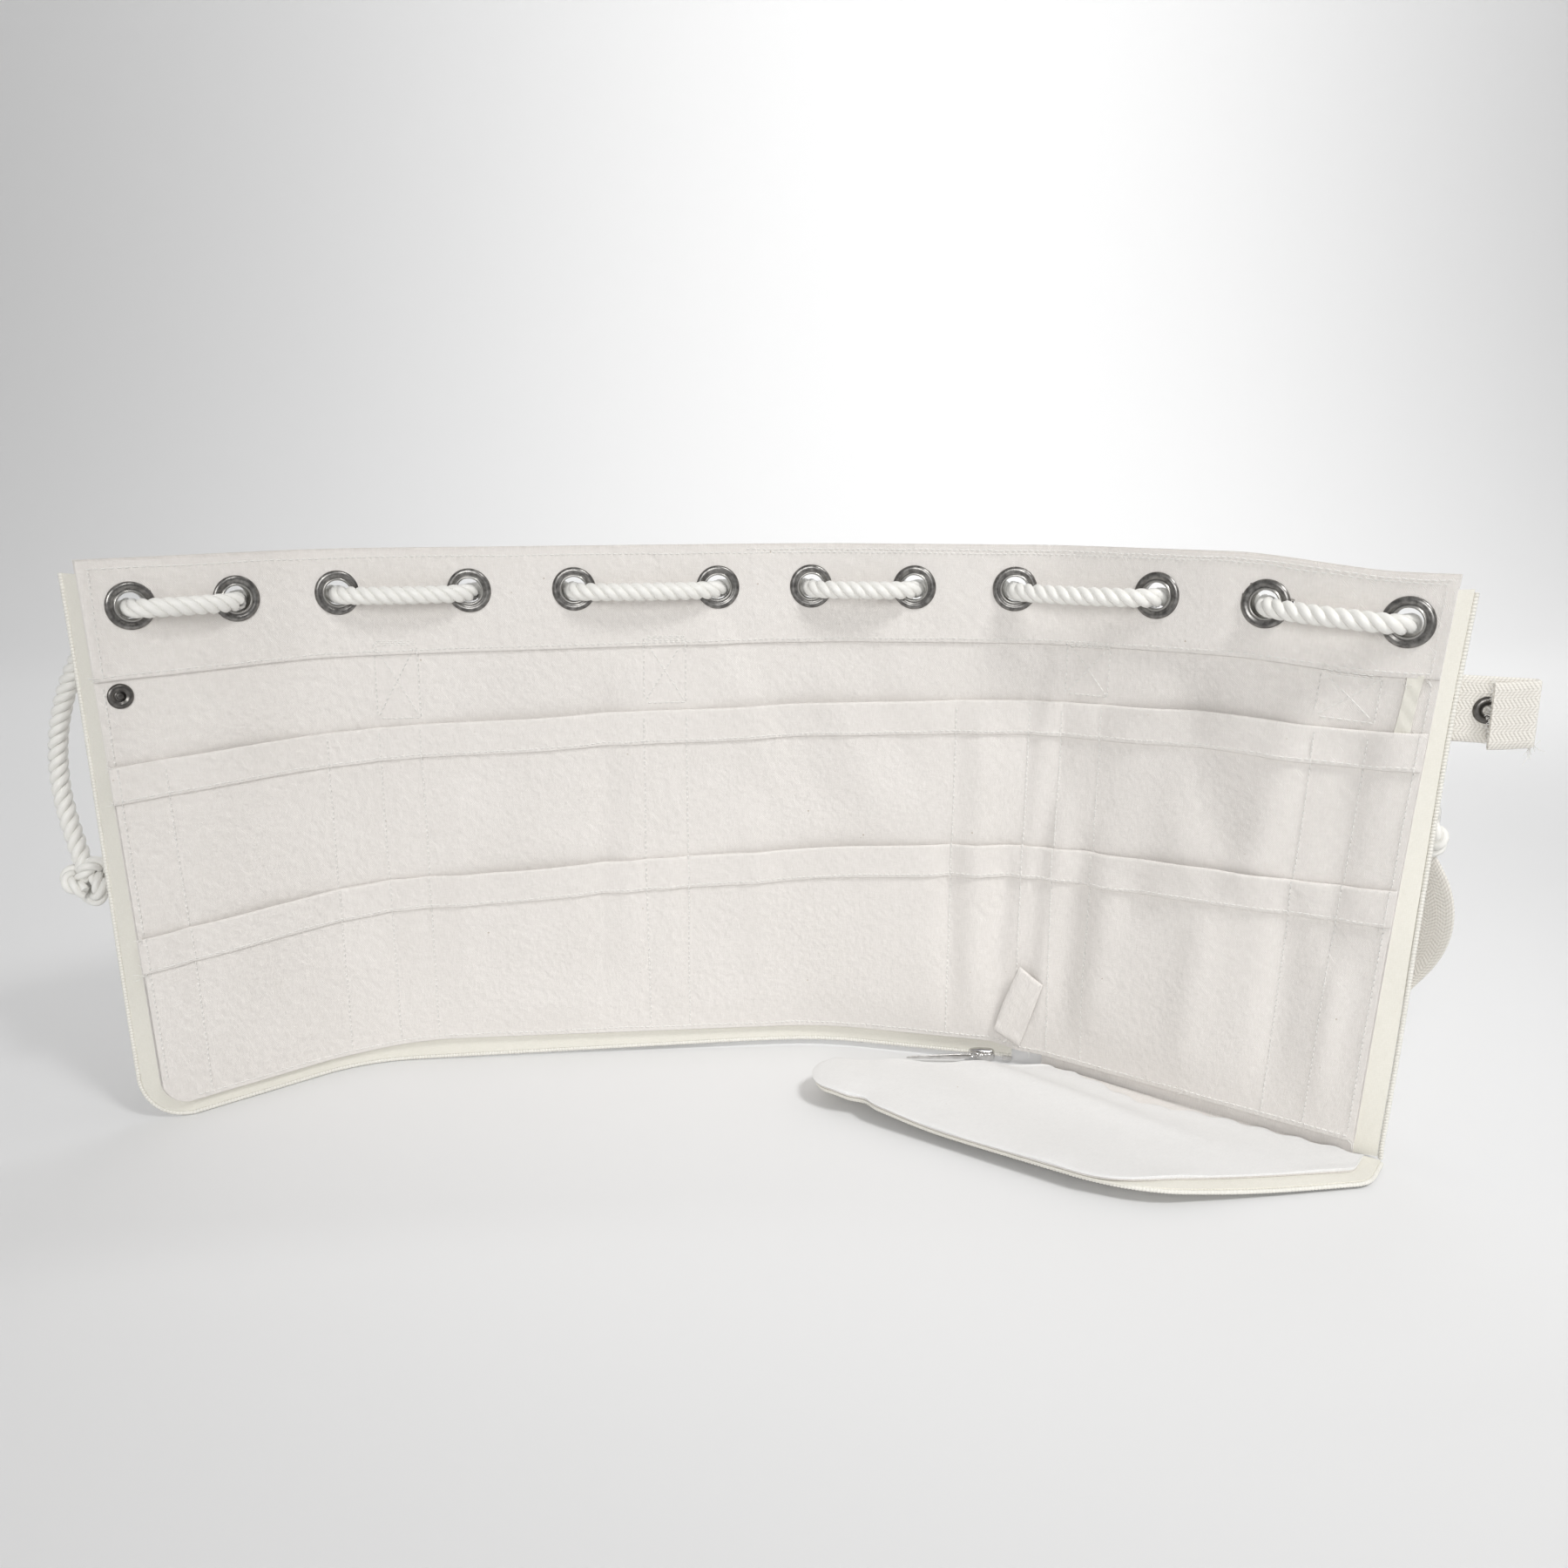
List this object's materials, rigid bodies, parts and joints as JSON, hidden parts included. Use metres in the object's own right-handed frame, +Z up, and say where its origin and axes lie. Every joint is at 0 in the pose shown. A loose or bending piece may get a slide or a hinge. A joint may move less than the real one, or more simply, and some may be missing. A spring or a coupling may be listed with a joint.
{
  "type": "tool roll",
  "caption": "Drawstring canvas tool roll shown unzipped, with rows of slip pockets, laced eyelets, a zip edge, a base flap and carrying loops",
  "frame": {"origin": "Centre of the bounding box without the free cord, on the surface the roll stands on", "axes": "+X along the panel from its left to its right end, +Y to the back, +Z up; the pockets face -Y"},
  "size_m": [0.6556, 0.1996, 0.27],
  "materials": {
    "canvas": "matt plain-woven cotton canvas",
    "lining": "matt fine cotton lining",
    "webbing": "matt herringbone cotton webbing",
    "zip_tape": "matt woven tape",
    "zip_coil": "satin nylon coil",
    "eyelet_metal": "dark polished plating",
    "zip_metal": "bright plating",
    "snap_metal": "satin plating",
    "rope": "satin three-strand rope"
  },
  "bodies": {
    "roll": {"outer_canvas": "canvas", "eyelet_band": "canvas", "upper_pocket_1": "canvas", "upper_pocket_2": "canvas", "upper_pocket_3": "canvas", "upper_pocket_4": "canvas", "upper_slot_pockets": "canvas", "upper_pocket_hem": "canvas", "lower_pocket_1": "canvas", "lower_pocket_2": "canvas", "lower_pocket_3": "canvas", "lower_pocket_4": "canvas", "lower_slot_pockets": "canvas", "lower_pocket_hem": "canvas", "inner_canvas": "lining", "sewn_strap_1": "webbing", "sewn_strap_2": "webbing", "sewn_strap_3": "webbing", "sewn_strap_4": "webbing", "snap_tab_sewn_end": "webbing", "left_zip_tape": "zip_tape", "right_zip_tape": "zip_tape", "base_seam_binding": "zip_tape", "side_tape_strip": "zip_tape", "left_zip_coil": "zip_coil", "lower_zip_coil": "zip_coil", "right_zip_coil": "zip_coil", "zip_retainer": "zip_coil", "eyelet_barrels": "eyelet_metal", "eyelet_washers": "eyelet_metal", "snap_stud": "snap_metal", "snap_stud_washer": "snap_metal", "snap_stud_post": "snap_metal", "drawcord": "rope", "cord_knot_left": "rope", "cord_knot_right": "rope"},
    "base_flap": {"base_outer": "canvas", "base_lining": "lining", "base_zip_tape": "zip_tape", "base_zip_coil": "zip_coil"},
    "zip_slider": {"zip_slider_body": "zip_metal", "zip_slider_bail": "zip_metal"},
    "zip_pull": {"zip_pull_tab": "zip_metal"},
    "snap_tab": {"snap_tab": "webbing", "snap_socket": "snap_metal", "snap_cap": "snap_metal"},
    "finger_tab": {"finger_tab": "canvas"},
    "handle_left": {"handle_loop_left": "webbing"},
    "handle_right": {"handle_loop_right": "webbing"}
  },
  "joints": [
    {"name": "base_flap_fold", "type": "hinge", "parent": "roll", "child": "base_flap", "pos_m": [0.19445, -0.0117, 0.0024], "axis": [-0.8011, 0.5985, 0], "range_deg": [0, 40]},
    {"name": "zip_slider_run", "type": "slide", "parent": "roll", "child": "zip_slider", "axis": [-0.9691, 0.2467, 0], "range_m": [0, 0.032]},
    {"name": "zip_pull_swing", "type": "hinge", "parent": "zip_slider", "child": "zip_pull", "pos_m": [0.10425, 0.03983, 0.0052], "axis": [0, 0, 1], "range_deg": [0, 160]},
    {"name": "snap_tab_fold", "type": "hinge", "parent": "roll", "child": "snap_tab", "pos_m": [0.26206, -0.05772, 0.209], "axis": [0, 0, 1], "range_deg": [0, 60]},
    {"name": "finger_tab_fold", "type": "hinge", "parent": "roll", "child": "finger_tab", "pos_m": [0.1186, 0.03438, 0.01152], "axis": [0.9442, -0.3294, 0], "range_deg": [0, 35]},
    {"name": "handle_left_swing", "type": "hinge", "parent": "roll", "child": "handle_left", "pos_m": [-0.12712, 0.05847, 0.22], "axis": [0.9969, 0.0783, 0], "range_deg": [0, 140]},
    {"name": "handle_right_swing", "type": "hinge", "parent": "roll", "child": "handle_right", "pos_m": [0.19263, -0.00261, 0.22], "axis": [0.8011, -0.5985, 0], "range_deg": [0, 140]}
  ]
}
